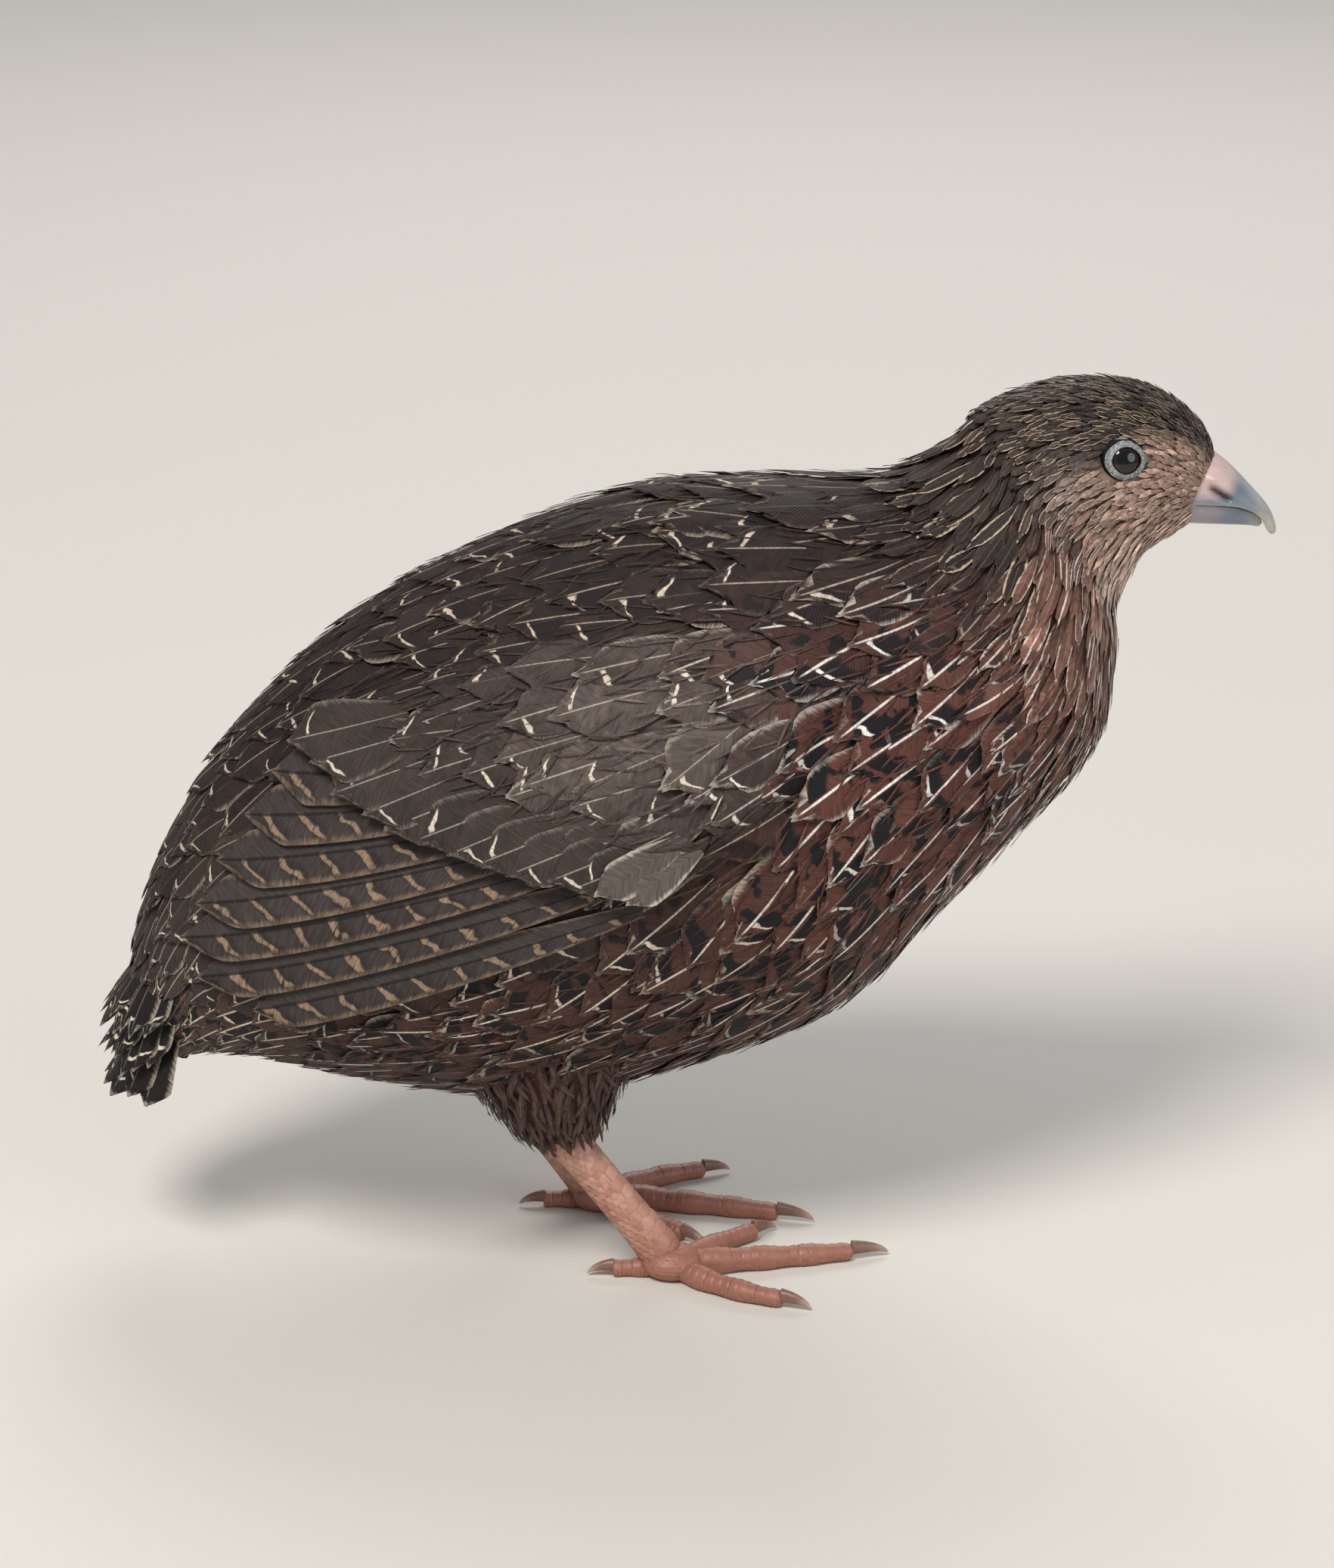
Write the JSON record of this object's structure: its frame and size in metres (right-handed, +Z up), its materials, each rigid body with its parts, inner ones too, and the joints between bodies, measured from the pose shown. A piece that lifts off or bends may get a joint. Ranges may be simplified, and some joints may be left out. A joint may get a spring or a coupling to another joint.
{
  "type": "coturnix quail",
  "caption": "Dark coturnix quail standing on both feet with folded wings, a short drooping tail and a hooked bill, as a still life-size museum model.",
  "frame": {"origin": "on the floor, at the middle of the bird's length and width", "axes": "+X towards the bill, +Y towards the bird's left side, +Z up"},
  "size_m": [0.159, 0.0742, 0.1223],
  "materials": {
    "plumage": "matt overlapping feathers, dark brown with cream shafts and buff marks",
    "horn": "keratin of the bill, pink at its root, blue-grey at its sides and cream at its tip",
    "claw": "dull keratin",
    "scale": "horny scutes over skin, pinkish brown",
    "eye": "wet, polished, almost black"
  },
  "bodies": {
    "root": {"torso": "plumage", "neck": "plumage", "head": "plumage", "tail": "plumage", "bill_upper": "horn", "bill_lower": "horn", "eye_right": "eye", "wing_right": "plumage", "thigh_right": "plumage", "shank_right": "scale", "toe_hind_right": "scale", "claw_hind_right": "claw", "toe_inner_right": "scale", "claw_inner_right": "claw", "toe_middle_right": "scale", "claw_middle_right": "claw", "toe_outer_right": "scale", "claw_outer_right": "claw", "eye_left": "eye", "wing_left": "plumage", "thigh_left": "plumage", "shank_left": "scale", "toe_hind_left": "scale", "claw_hind_left": "claw", "toe_inner_left": "scale", "claw_inner_left": "claw", "toe_middle_left": "scale", "claw_middle_left": "claw", "toe_outer_left": "scale", "claw_outer_left": "claw"}
  },
  "joints": []
}
